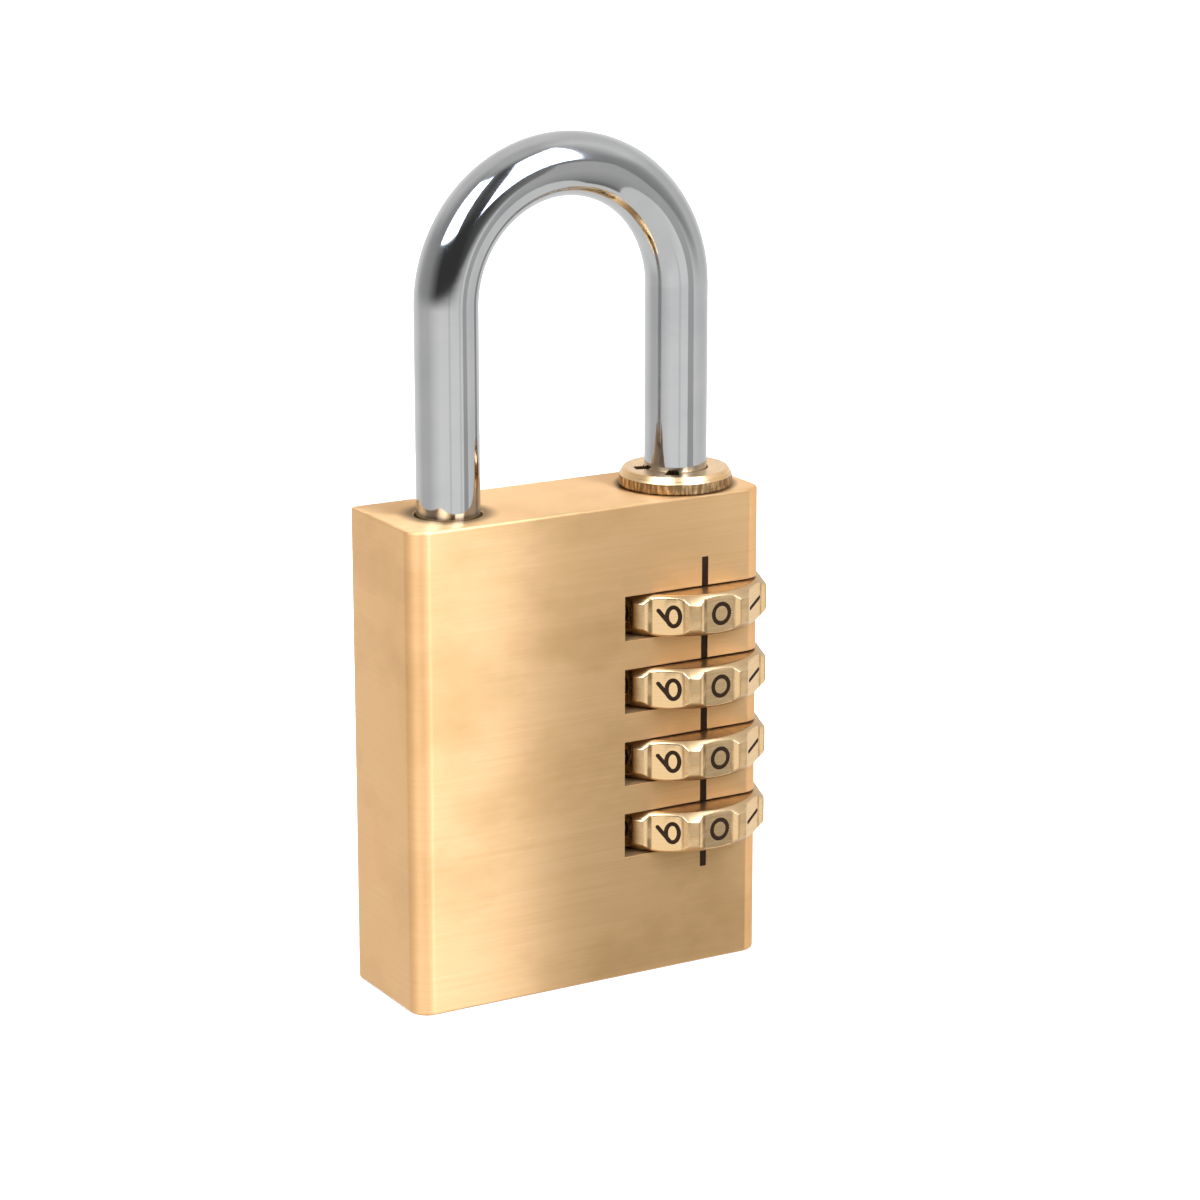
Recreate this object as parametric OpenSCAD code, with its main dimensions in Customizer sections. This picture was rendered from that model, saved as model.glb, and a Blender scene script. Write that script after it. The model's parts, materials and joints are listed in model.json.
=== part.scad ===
// Resettable four-wheel combination padlock with a solid brass body, in millimetres.
// The body's front faces -Y and its top faces +Z. The origin is the centre of the body's bottom face.
// The shackle's heel leg runs down through the wheels, and its toe leg drops into a blind hole.

/* [Body] */
// Width of the body
body_w = 40; // [38:0.5:44]
// Depth of the body, front to back
body_d = 13.4; // [13:0.2:16]
// Height of the body
body_h = 49.6; // [48:0.2:54]
// Radius of the two vertical corners at the front
corner_r = 2; // [1:0.25:2.5]
// Radius of the two vertical corners at the back
back_corner_r = 0.3; // [0.2:0.1:1]
// Chamfer around the top and bottom edges
edge_chamfer = 0.3; // [0.2:0.1:0.8]

/* [Shackle] */
// Diameter of the shackle wire
wire_d = 6.35; // [6:0.05:6.4]
// Distance between the two legs, centre to centre
leg_spacing = 26; // [25:0.5:27]
// How far both leg axes sit in front of the body's middle plane
axis_forward = 0.8; // [0:0.1:1]
// Height of the bow's centre above the body's top
bow_rise = 20.5; // [15:0.5:40]
// Depth of the toe leg in its hole when the shackle is closed
toe_insertion = 5; // [4:0.1:5.5]
// Travel of the shackle from closed to open
shackle_travel = 6.2; // [5.2:0.1:6.2]

/* [Wheels] */
// Distance from one wheel to the next
wheel_pitch = 7.6; // [7.6:0.1:7.8]
// Distance from the body's top to the centre of the first wheel
first_wheel_drop = 11.7; // [11.6:0.1:12]
// Outer radius of a wheel, over its ribs
wheel_r = 9.4; // [8.8:0.1:9.5]
// Height of a wheel
wheel_h = 4.3; // [4:0.1:4.4]
// Depth of the ten flats below the ribs
flat_depth = 0.65; // [0.5:0.05:0.9]
// Chamfer around both rims of a wheel
wheel_chamfer = 0.9; // [0.5:0.1:1.2]
// Height of the slot that each wheel turns in
slot_h = 4.6; // [4.5:0.1:4.8]

/* [Mechanism] */
// Thickness of each clutch sleeve's inner flange
flange_h = 2.2; // [2:0.1:2.2]
// Height of each tooth on the heel leg
tooth_h = 2.2; // [2:0.1:2.2]
// Travel of the clutch sleeves when the code is being changed
clutch_travel = 1.4; // [1.2:0.1:1.4]

/* [Hidden] */
$fn = 96;

eps = 0.01;
wheel_count = 4;
digit_count = 10;
digit_step = 360 / digit_count;

// Radii that nest around the heel leg, from the wire outwards.
wire_r = wire_d / 2;
flange_bore_r = wire_r + 0.095;
tooth_r = 3.95;
tooth_w = 1;
gate_w = 1.4;
gap_r = 4.1;
sleeve_r = 4.58;
wheel_bore_r = 4.65;
lug_r = 4.9;
lug_w = 1.3;
notch_w = 1.5;
main_bore_r = 5;

// Places of the two legs and of the wheels.
heel_x = leg_spacing / 2;
toe_x = -heel_x;
axis_y = -axis_forward;
bow_z = body_h + bow_rise;
function wheel_z(k) = body_h - first_wheel_drop - (k - 1) * wheel_pitch;

// Clutch sleeves fill the main bore from its shoulder down, one to each wheel. A sleeve's lugs sit in notches
// in its wheel's inner lip, and the sleeve's travel takes them just below that lip.
sleeve_h = wheel_pitch - 0.1;
lip_h = clutch_travel - 0.1;
lug_h = lip_h - 0.2;
stack_top = wheel_z(1) + sleeve_h / 2;
stack_bottom = wheel_z(wheel_count) - sleeve_h / 2;
shoulder_z = stack_top + 0.15;
tooth_gap = 0.3;
function flange_bottom(k) = wheel_z(k) + sleeve_h / 2 - flange_h;
function tooth_top(k) = flange_bottom(k) - tooth_gap;

// The collar sits in a seat at the top of the heel leg's bore. Its rim has a steep chamfer up to a flat top.
collar_r = 5.75;
collar_rise = 1.8;
collar_top_r = 5.3;
collar_slope_h = 0.7;
collar_seat_r = 4.9;
collar_bore_r = wire_r + 0.095;
collar_bottom = tooth_top(1) + shackle_travel + 0.15;
keyway_angles = [-36, -105];
keyway_r = 4.3;

// Ends of the legs.
toe_tip_z = body_h - toe_insertion;
toe_hole_r = wire_r + 0.225;
toe_hole_bottom = toe_tip_z - 0.8;
heel_tip_z = 5.6;
tip_chamfer = 0.6;

// Plug, spring and washer under the sleeves.
plug_h = 3;
seat_h = 0.55;
seat_top = stack_bottom - 0.05;
spring_wire_r = 0.35;
spring_r = 4.2;
spring_turns = 4;
spring_sides = 8;
spring_steps_per_turn = 20;
pin_r = 0.75;
plug_pin_z = 1.5;
collar_pin_z = collar_bottom + 1.4;
pin_depth = 3.4;

// Slots, index groove and click springs.
slot_left_x = 3.7;
groove_w = 0.75;
groove_depth = 0.3;
groove_top = body_h - 6.4;
groove_bottom = 10.3;
inlay_depth = 0.22;
pocket_depth = 0.95;
pocket_w = 7;
click_h = 3;
click_t = 0.22;
click_gap = 0.06;

// Outline of a wheel seen from above: ten flats with sloping flanks up to the ribs between them.
rib_half_angle = 2.8;
flat_half_w = 1.6;
flat_r = wheel_r - flat_depth;
rib_edge_angle = digit_step / 2 - rib_half_angle;
rib_beyond_r = wheel_r + 0.6;
function turned(p, a) = [p[0] * cos(a) - p[1] * sin(a), p[0] * sin(a) + p[1] * cos(a)];
function polar(r, a) = [r * sin(a), -r * cos(a)];
function wheel_outline() = [
    for (k = [0 : digit_count - 1])
        for (p = [
            [-flat_half_w, -flat_r],
            [flat_half_w, -flat_r],
            polar(wheel_r, rib_edge_angle),
            polar(rib_beyond_r, rib_edge_angle),
            polar(rib_beyond_r, digit_step - rib_edge_angle),
            polar(wheel_r, digit_step - rib_edge_angle)
        ]) turned(p, k * digit_step)
];

module at_heel(z = 0) { translate([heel_x, axis_y, z]) children(); }

// A block or slot that points from the axis at an angle measured from the front, towards +X.
module spoke(angle, r_in, r_out, w, h) {
    rotate([0, 0, angle - 90]) translate([r_in, -w / 2, 0]) cube([r_out - r_in, w, h]);
}

// Outline of the body seen from above, with wider corners at the front than at the back.
module body_outline() {
    back_r = back_corner_r;
    square([body_w - 2 * corner_r, body_d], center = true);
    translate([-body_w / 2, corner_r - body_d / 2]) square([body_w, body_d - corner_r - back_r]);
    translate([back_r - body_w / 2, corner_r - body_d / 2]) square([body_w - 2 * back_r, body_d - corner_r]);
    for (side = [-1, 1]) {
        translate([side * (body_w / 2 - corner_r), corner_r - body_d / 2]) circle(corner_r);
        translate([side * (body_w / 2 - back_r), body_d / 2 - back_r]) circle(back_r);
    }
}

// Side view of a block whose top and bottom edges are chamfered.
module chamfered_profile(w) {
    c = edge_chamfer;
    polygon([
        [-w / 2 + c, 0], [w / 2 - c, 0], [w / 2, c], [w / 2, body_h - c],
        [w / 2 - c, body_h], [-w / 2 + c, body_h], [-w / 2, body_h - c], [-w / 2, c]
    ]);
}

module body_block() {
    intersection() {
        linear_extrude(body_h) body_outline();
        rotate([90, 0, 0]) linear_extrude(body_d + 2, center = true) chamfered_profile(body_w);
        rotate([90, 0, 90]) linear_extrude(body_w + 2, center = true) chamfered_profile(body_d);
    }
}

module wheel_slot(k) {
    z = wheel_z(k) - slot_h / 2;
    translate([slot_left_x, -body_d, z]) cube([body_w, 2 * body_d, slot_h]);
    translate([slot_left_x - pocket_depth, axis_y - pocket_w / 2, z])
        cube([pocket_depth + eps, pocket_w, slot_h]);
}

module retaining_hole(z) {
    translate([heel_x, body_d / 2 - pin_depth, z]) rotate([-90, 0, 0]) cylinder(r = pin_r, h = pin_depth + 1);
}

module lock_body() {
    color("#c9a56b") difference() {
        body_block();
        at_heel(-1) cylinder(r = main_bore_r, h = shoulder_z + 1);
        at_heel() cylinder(r = gap_r, h = body_h);
        at_heel(collar_bottom) cylinder(r = collar_seat_r, h = body_h);
        translate([toe_x, axis_y, toe_hole_bottom]) cylinder(r = toe_hole_r, h = body_h);
        for (k = [1 : wheel_count]) wheel_slot(k);
        translate([heel_x - groove_w / 2, -body_d / 2 - 1, groove_bottom])
            cube([groove_w, 1 + groove_depth, groove_top - groove_bottom]);
        retaining_hole(collar_pin_z);
        retaining_hole(plug_pin_z);
    }
}

// Black filling of the index groove, in five lengths between the wheel slots.
module index_inlay() {
    color("#1d1a18") difference() {
        translate([heel_x - groove_w / 2, -body_d / 2 + groove_depth - inlay_depth, groove_bottom])
            cube([groove_w, inlay_depth, groove_top - groove_bottom]);
        for (k = [1 : wheel_count])
            translate([0, -body_d, wheel_z(k) - slot_h / 2]) cube([body_w, body_d, slot_h]);
    }
}

module leg(z_tip) {
    rotate_extrude() polygon([
        [0, z_tip], [wire_r - tip_chamfer, z_tip], [wire_r, z_tip + tip_chamfer],
        [wire_r, bow_z], [0, bow_z]
    ]);
}

module shackle() {
    color("#c8ccd2") {
        translate([0, axis_y, bow_z]) rotate([90, 0, 0])
            rotate_extrude(angle = 180) translate([heel_x, 0]) circle(wire_r);
        translate([toe_x, axis_y, 0]) leg(toe_tip_z);
        at_heel() leg(heel_tip_z);
        for (k = [1 : wheel_count])
            at_heel(tooth_top(k) - tooth_h) spoke(-90, wire_r - 0.5, tooth_r, tooth_w, tooth_h);
    }
}

module reset_collar() {
    top = body_h + collar_rise;
    color("#c2a16c") difference() {
        at_heel() rotate_extrude() polygon([
            [0, collar_bottom], [collar_seat_r, collar_bottom], [collar_seat_r, body_h],
            [collar_r, body_h], [collar_r, top - collar_slope_h], [collar_top_r, top], [0, top]
        ]);
        at_heel(collar_bottom - 1) cylinder(r = collar_bore_r, h = body_h);
        for (a = keyway_angles) at_heel(collar_bottom - 1) spoke(a, 0, keyway_r, gate_w, body_h);
        retaining_hole(collar_pin_z);
    }
}

module retaining_pin(z) {
    translate([heel_x, body_d / 2 - pin_depth, z]) rotate([-90, 0, 0]) cylinder(r = pin_r, h = pin_depth);
}
module collar_pin() { color("#b8935a") retaining_pin(collar_pin_z); }
module plug_pin() { color("#b8935a") retaining_pin(plug_pin_z); }

module end_plug() {
    color("#b8935a") difference() {
        at_heel() cylinder(r = main_bore_r, h = plug_h);
        retaining_hole(plug_pin_z);
    }
}

module spring_seat() {
    color("#aab0b6") at_heel(seat_top - seat_h) difference() {
        cylinder(r = sleeve_r, h = seat_h);
        translate([0, 0, -1]) cylinder(r = wire_r + 0.25, h = seat_h + 2);
    }
}

// Round wire swept along a helix between two heights.
module helical_spring(r, wire, z_low, z_high, turns) {
    steps = turns * spring_steps_per_turn;
    rise = z_high - z_low - 2 * wire;
    function ring_point(i, j) =
        let (a = 360 * i / spring_steps_per_turn, b = 360 * j / spring_sides, rr = r + wire * cos(b))
        [rr * cos(a), rr * sin(a), z_low + wire + rise * i / steps + wire * sin(b)];
    points = [for (i = [0 : steps], j = [0 : spring_sides - 1]) ring_point(i, j)];
    sides = [
        for (i = [0 : steps - 1], j = [0 : spring_sides - 1])
            let (n = spring_sides, a = i * n + j, b = i * n + (j + 1) % n)
            [a, b, b + n, a + n]
    ];
    first_cap = [for (j = [spring_sides - 1 : -1 : 0]) j];
    last_cap = [for (j = [0 : spring_sides - 1]) steps * spring_sides + j];
    polyhedron(points, concat(sides, [first_cap, last_cap]), convexity = 10);
}

module stack_spring() {
    color("#9aa0a6") at_heel()
        helical_spring(spring_r, spring_wire_r, plug_h + 0.02, seat_top - seat_h - 0.02, spring_turns);
}

module wheel_barrel() {
    c = wheel_chamfer;
    h = wheel_h / 2;
    rotate_extrude() polygon([
        [0, -h], [wheel_r - c, -h], [wheel_r, -h + c], [wheel_r, h - c], [wheel_r - c, h], [0, h]
    ]);
}

module number_wheel(k) {
    color("#d8bd88") at_heel(wheel_z(k)) difference() {
        intersection() {
            wheel_barrel();
            linear_extrude(wheel_h, center = true) polygon(wheel_outline());
        }
        cylinder(r = wheel_bore_r, h = wheel_h + 2, center = true);
        translate([0, 0, -wheel_h / 2 - 1]) cylinder(r = main_bore_r, h = wheel_h - lip_h + 1);
        for (d = [0 : digit_count - 1])
            translate([0, 0, wheel_h / 2 - lip_h - eps])
                spoke(d * digit_step, wheel_bore_r - 1, main_bore_r, notch_w, lip_h + 1);
    }
}
module number_wheel_1() { number_wheel(1); }
module number_wheel_2() { number_wheel(2); }
module number_wheel_3() { number_wheel(3); }
module number_wheel_4() { number_wheel(4); }

module clutch_sleeve(k) {
    lug_z = wheel_h / 2 - lip_h + (lip_h - lug_h) / 2;
    color("#a9793f") at_heel(wheel_z(k)) difference() {
        union() {
            cylinder(r = sleeve_r, h = sleeve_h, center = true);
            for (a = [0, 180]) translate([0, 0, lug_z]) spoke(a, gap_r + 0.1, lug_r, lug_w, lug_h);
        }
        cylinder(r = flange_bore_r, h = sleeve_h + 2, center = true);
        translate([0, 0, -sleeve_h / 2 - 1]) cylinder(r = gap_r, h = sleeve_h - flange_h + 1);
        translate([0, 0, -sleeve_h / 2]) spoke(-90, 0, gap_r, gate_w, sleeve_h + 1);
    }
}
module clutch_sleeve_1() { clutch_sleeve(1); }
module clutch_sleeve_2() { clutch_sleeve(2); }
module clutch_sleeve_3() { clutch_sleeve(3); }
module clutch_sleeve_4() { clutch_sleeve(4); }

// A bowed strip in the slot's left wall, whose crown just clears the ribs of the wheel.
module click_spring(k) {
    crown_x = heel_x - wheel_r - click_gap;
    back_x = slot_left_x - pocket_depth;
    rise = crown_x - back_x - click_t;
    half_span = pocket_w / 2 - 0.1;
    bow_r = (half_span * half_span + rise * rise) / (2 * rise);
    half_angle = asin(half_span / bow_r);
    color("#8f959b") translate([crown_x - bow_r, axis_y, wheel_z(k) - click_h / 2])
        rotate([0, 0, -half_angle]) rotate_extrude(angle = 2 * half_angle)
            translate([bow_r - click_t, 0]) square([click_t, click_h]);
}
module click_spring_1() { click_spring(1); }
module click_spring_2() { click_spring(2); }
module click_spring_3() { click_spring(3); }
module click_spring_4() { click_spring(4); }

lock_body();
shackle();
reset_collar();
collar_pin();
index_inlay();
end_plug();
plug_pin();
stack_spring();
spring_seat();
number_wheel_1();
number_wheel_2();
number_wheel_3();
number_wheel_4();
clutch_sleeve_1();
clutch_sleeve_2();
clutch_sleeve_3();
clutch_sleeve_4();
click_spring_1();
click_spring_2();
click_spring_3();
click_spring_4();
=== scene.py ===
"""Looks of a four-wheel combination padlock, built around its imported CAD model.

Shapes are made in millimetres in the row frame and scaled to metres when they become pieces.
Angles around the heel leg are measured from the front, -Y, towards +X.
"""

import json
import math

import bmesh
import bpy
from mathutils import Matrix, Vector


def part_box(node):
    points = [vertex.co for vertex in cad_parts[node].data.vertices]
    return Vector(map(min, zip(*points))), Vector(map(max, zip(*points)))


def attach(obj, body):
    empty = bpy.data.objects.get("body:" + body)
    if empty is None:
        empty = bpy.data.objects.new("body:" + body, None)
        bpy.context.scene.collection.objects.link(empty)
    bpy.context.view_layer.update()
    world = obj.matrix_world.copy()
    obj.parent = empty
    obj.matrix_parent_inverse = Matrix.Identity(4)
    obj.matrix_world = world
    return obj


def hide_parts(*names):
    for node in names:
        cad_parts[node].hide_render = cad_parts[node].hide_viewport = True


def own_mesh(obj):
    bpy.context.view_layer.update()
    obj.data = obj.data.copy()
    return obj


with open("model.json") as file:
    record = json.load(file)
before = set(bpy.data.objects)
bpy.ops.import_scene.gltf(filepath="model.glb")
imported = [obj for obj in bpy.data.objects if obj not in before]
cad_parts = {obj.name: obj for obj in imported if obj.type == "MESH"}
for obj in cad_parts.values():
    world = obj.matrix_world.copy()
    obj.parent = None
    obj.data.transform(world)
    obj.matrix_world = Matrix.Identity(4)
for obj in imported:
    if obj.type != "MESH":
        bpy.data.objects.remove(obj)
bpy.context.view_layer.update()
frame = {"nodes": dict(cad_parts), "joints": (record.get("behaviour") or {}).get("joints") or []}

MM = 0.001


# ---------------------------------------------------------------- sizes, in millimetres

def node_box(name):
    low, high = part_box(name)
    return low / MM, high / MM


def joint_place(name):
    joint = next(j for j in frame["joints"] if j["name"] == name)
    return Vector(joint["pos_m"]) / MM


WHEELS = [1, 2, 3, 4]
wheel_place = {k: joint_place(f"wheel_{k}_turn") for k in WHEELS}
heel = Vector((wheel_place[1].x, wheel_place[1].y))

body_low, body_high = node_box("lock_body")
body_w = body_high.x - body_low.x
body_d = body_high.y - body_low.y
body_h = body_high.z
corner_r = 2.0
back_corner_r = 0.3
edge_round = 0.3
slot_rim_round = 0.08
skin = 0.15

shackle_low, shackle_high = node_box("shackle")
wire_r = (shackle_high.y - shackle_low.y) / 2
toe_x = shackle_low.x + wire_r
bow_z = shackle_high.z - heel.x - wire_r
toe_insertion = 5.0
toe_tip_z = body_h - toe_insertion
toe_hole_gap = 0.225
toe_hole_floor_gap = 0.8
toe_hole_flare = 0.12
tip_chamfer = 0.6
tooth_r = 3.95
tooth_w = 1.0
tooth_h = 2.2
tooth_gap = 0.3
tooth_round = 0.15

wheel_low, wheel_high = node_box("number_wheel_1")
wheel_r = wheel_high.x - heel.x
wheel_h = wheel_high.z - wheel_low.z
DIGITS = range(10)
digit_step = math.radians(36)
rib_half_angle = math.radians(3.6)
flat_half_w = 1.65
flat_r = wheel_r - 0.65
wheel_chamfer = 0.9
wheel_round = 0.11
notch_w = 1.5
lip_h = 1.3
lip_bore_r = 4.65
bore_r = 5.0
slot_h = 4.6
slot_left_x = 3.7
pocket_depth = 0.95
pocket_w = 7.0
flange_h = 2.2
sleeve_h = 7.5
shoulder_gap = 0.15

collar_low, collar_high = node_box("reset_collar")
collar_r = (collar_high.x - collar_low.x) / 2
collar_seat_r = 4.9
leg_gap = 0.095
collar_bore_r = wire_r + leg_gap
collar_top_r = 5.3
collar_slope_h = 0.7
keyway_w = 1.4
keyway_r = 4.3
KEYWAY_ANGLES = [math.radians(-36), math.radians(-105)]

spring_low, spring_high = node_box("stack_spring")
spring_wire_r = 0.35
spring_turns = 4
inlay_low, inlay_high = node_box("index_inlay")
pin_r = 0.75
pin_depth = 3.4
pin_hole_gap = 0.03
PIN_HEIGHTS = [(node_box(n)[0].z + node_box(n)[1].z) / 2 for n in ("collar_pin", "plug_pin")]


# ---------------------------------------------------------------- shapes

def polar(r, angle, z=0.0):
    """A point around an axis at the origin, at an angle from the front towards +X."""
    return Vector((r * math.sin(angle), -r * math.cos(angle), z))


def rounded(points, radius, closed=True):
    """The outline with each corner replaced by an arc of at most that radius."""
    arc_steps = 4
    result = []
    count = len(points)
    for i, point in enumerate(points):
        here = Vector(point)
        if not closed and i in (0, count - 1):
            result.append(here)
            continue
        to_last = Vector(points[i - 1]) - here
        to_next = Vector(points[(i + 1) % count]) - here
        turn = to_last.angle(to_next)
        reach = min(radius / math.tan(turn / 2), 0.45 * to_last.length, 0.45 * to_next.length)
        start = here + to_last.normalized() * reach
        end = here + to_next.normalized() * reach
        for step in range(arc_steps + 1):
            t = step / arc_steps
            result.append(start.lerp(here, t).lerp(here.lerp(end, t), t))
    return result


def from_rings(rings, joined=False):
    """A mesh skinned over rings of points. Its ends are capped, or joined to each other."""
    mesh = bmesh.new()
    rows = [[mesh.verts.new(p) for p in ring] for ring in rings]
    pairs = list(zip(rows, rows[1:])) + ([(rows[-1], rows[0])] if joined else [])
    for low, high in pairs:
        for i in range(len(low)):
            j = (i + 1) % len(low)
            mesh.faces.new((low[i], low[j], high[j], high[i]))
    if not joined:
        mesh.faces.new(rows[0][::-1])
        mesh.faces.new(rows[-1])
    bmesh.ops.recalc_face_normals(mesh, faces=mesh.faces)
    return mesh


def placed(mesh, matrix):
    """The mesh moved by a matrix. Bevels need the normals to follow."""
    mesh.transform(matrix)
    mesh.normal_update()
    return mesh


def prism(outline, low, high, matrix=Matrix()):
    """An outline in x and y, extruded between two heights and then placed by a matrix."""
    mesh = from_rings([[(x, y, z) for x, y in outline] for z in (low, high)])
    return placed(mesh, matrix)


def block(low, high, matrix=Matrix()):
    corners = [(low[0], low[1]), (high[0], low[1]), (high[0], high[1]), (low[0], high[1])]
    return prism(corners, low[2], high[2], matrix)


def lathe(profile, centre, steps):
    """A ring: a closed outline in radius and height, turned about an upright axis."""
    rings = []
    for i in range(steps):
        angle = 2 * math.pi * i / steps
        rings.append([polar(r, angle, z) + Vector((centre[0], centre[1], 0)) for r, z in profile])
    return from_rings(rings, joined=True)


def drum(sizes, centre, steps=96):
    """A solid on an upright axis, given by its radii and heights from the bottom up."""
    rings = []
    for radius, z in sizes:
        rings.append([polar(radius, 2 * math.pi * i / steps, z) + Vector((centre[0], centre[1], 0))
                      for i in range(steps)])
    return from_rings(rings)


def spoke(angle, r_in, r_out, w, low, high, centre):
    """A block that points outwards from an upright axis."""
    place = Matrix.Translation((centre[0], centre[1], 0)) @ Matrix.Rotation(angle, 4, "Z")
    return block((-w / 2, -r_out, low), (w / 2, -r_in, high), place)


def pin_drill(z, gap):
    """A cutter for the hole of a retaining pin, which goes in from the back."""
    turn = Matrix.Translation((heel.x, body_high.y, z)) @ Matrix.Rotation(math.radians(-90), 4, "X")
    return placed(drum([(pin_r + gap, -pin_depth), (pin_r + gap, 1)], (0, 0), 48), turn)


def combine(mesh, others, operation):
    """An exact boolean of one mesh with several others."""
    def scratch(made, collection):
        data = bpy.data.meshes.new("scratch")
        made.to_mesh(data)
        made.free()
        thing = bpy.data.objects.new("scratch", data)
        collection.objects.link(thing)
        return thing

    tools = bpy.data.collections.new("tools")
    bpy.context.scene.collection.children.link(tools)
    target = scratch(mesh, bpy.context.scene.collection)
    used = [scratch(other, tools) for other in others]
    modifier = target.modifiers.new("combine", "BOOLEAN")
    modifier.operation = operation
    modifier.solver = "EXACT"
    modifier.operand_type = "COLLECTION"
    modifier.collection = tools
    modifier.use_hole_tolerant = True
    depsgraph = bpy.context.evaluated_depsgraph_get()
    data = bpy.data.meshes.new_from_object(target.evaluated_get(depsgraph))
    result = bmesh.new()
    result.from_mesh(data)
    for thing in [target] + used:
        bpy.data.objects.remove(thing)
    bpy.data.collections.remove(tools)
    bpy.data.meshes.remove(data)
    merge_distance = 0.0005
    bmesh.ops.remove_doubles(result, verts=result.verts, dist=merge_distance)
    bmesh.ops.dissolve_degenerate(result, edges=result.edges, dist=merge_distance)
    return result


def soften(mesh, width, choose=None, segments=2):
    """Bevels the sharp edges of a mesh, or those of them that choose picks."""
    least_angle = math.radians(25)
    edges = []
    for edge in mesh.edges:
        if len(edge.link_faces) != 2 or edge.calc_face_angle(0) < least_angle:
            continue
        if choose is None or choose(edge):
            edges.append(edge)
    bmesh.ops.bevel(mesh, geom=edges, offset=width, segments=segments, profile=0.5,
                    affect="EDGES", clamp_overlap=True)
    return mesh


def piece(name, mesh, material, body, replaced=(), place=(0, 0, 0)):
    """Turns a mesh in millimetres into a shaded piece that rides on a CAD body."""
    mesh.transform(Matrix.Scale(MM, 4))
    data = bpy.data.meshes.new(name)
    mesh.to_mesh(data)
    mesh.free()
    return mesh_piece(name, data, material, body, replaced, place)


def mesh_piece(name, data, material, body, replaced=(), place=(0, 0, 0)):
    """Makes a piece from mesh data in metres. Data that another piece already uses keeps its shading."""
    sharp_angle = math.radians(35)
    if not data.materials:
        data.materials.append(material)
        data.shade_smooth()
        data.set_sharp_from_angle(angle=sharp_angle)
    thing = bpy.data.objects.new(name, data)
    bpy.context.scene.collection.objects.link(thing)
    thing.location = Vector(place) * MM
    weighted = thing.modifiers.new("weighted_normals", "WEIGHTED_NORMAL")
    weighted.keep_sharp = True
    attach(thing, body)
    if replaced:
        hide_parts(*replaced)
    return thing


# ---------------------------------------------------------------- materials

class Graph:
    """Short ways to add nodes to a tree. An input is a socket to link or a constant."""

    def __init__(self, tree):
        self.tree = tree

    def node(self, kind, inputs=None, **settings):
        made = self.tree.nodes.new(kind)
        for name, value in settings.items():
            setattr(made, name, value)
        for key, value in (inputs or {}).items():
            if isinstance(value, bpy.types.NodeSocket):
                self.tree.links.new(value, made.inputs[key])
            else:
                made.inputs[key].default_value = value
        return made

    def math(self, operation, a, b=0.0):
        return self.node("ShaderNodeMath", {0: a, 1: b}, operation=operation).outputs[0]

    def mix(self, factor, a, b):
        mixer = self.node("ShaderNodeMix", {0: factor, 6: a, 7: b}, data_type="RGBA")
        return mixer.outputs[2]

    def remap(self, value, from_low, from_high, to_low, to_high, smooth=False):
        kind = "SMOOTHSTEP" if smooth else "LINEAR"
        inputs = {0: value, 1: from_low, 2: from_high, 3: to_low, 4: to_high}
        return self.node("ShaderNodeMapRange", inputs, interpolation_type=kind).outputs[0]

    def noise(self, vector, scale, detail=2.0, roughness=0.5):
        inputs = {"Vector": vector, "Scale": scale, "Detail": detail, "Roughness": roughness}
        return self.node("ShaderNodeTexNoise", inputs).outputs[0]

    def vector(self, x, y, z):
        return self.node("ShaderNodeCombineXYZ", {0: x, 1: y, 2: z}).outputs[0]

    def split(self, vector):
        return self.node("ShaderNodeSeparateXYZ", {0: vector}).outputs


def new_material(name):
    material = bpy.data.materials.new(name)
    material.use_nodes = True
    material.node_tree.nodes.clear()
    return material, Graph(material.node_tree)


def finish_material(graph, colour, roughness, height, bump_mm, **more):
    """Adds the surface shader. more holds its other inputs by name."""
    bump = graph.node("ShaderNodeBump", {"Strength": 1.0, "Distance": bump_mm * MM, "Height": height})
    inputs = {"Base Color": colour, "Roughness": roughness, "Normal": bump.outputs[0], **more}
    shader = graph.node("ShaderNodeBsdfPrincipled", inputs)
    graph.node("ShaderNodeOutputMaterial", {0: shader.outputs[0]})


def from_axis(graph, x, y, centre):
    """The offsets in x and y and the distance from an upright axis at centre, which is in millimetres."""
    dx = graph.math("SUBTRACT", x, centre[0] * MM)
    dy = graph.math("SUBTRACT", y, centre[1] * MM)
    squares = graph.math("ADD", graph.math("MULTIPLY", dx, dx), graph.math("MULTIPLY", dy, dy))
    return dx, dy, graph.math("SQRT", squares)


def around(graph, x, y, centre, inner, outer):
    """1 within the inner radius about an upright axis, falling to 0 at the outer one, in millimetres."""
    radius = from_axis(graph, x, y, centre)[2]
    return graph.remap(radius, inner * MM, outer * MM, 1.0, 0.0, True)


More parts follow.
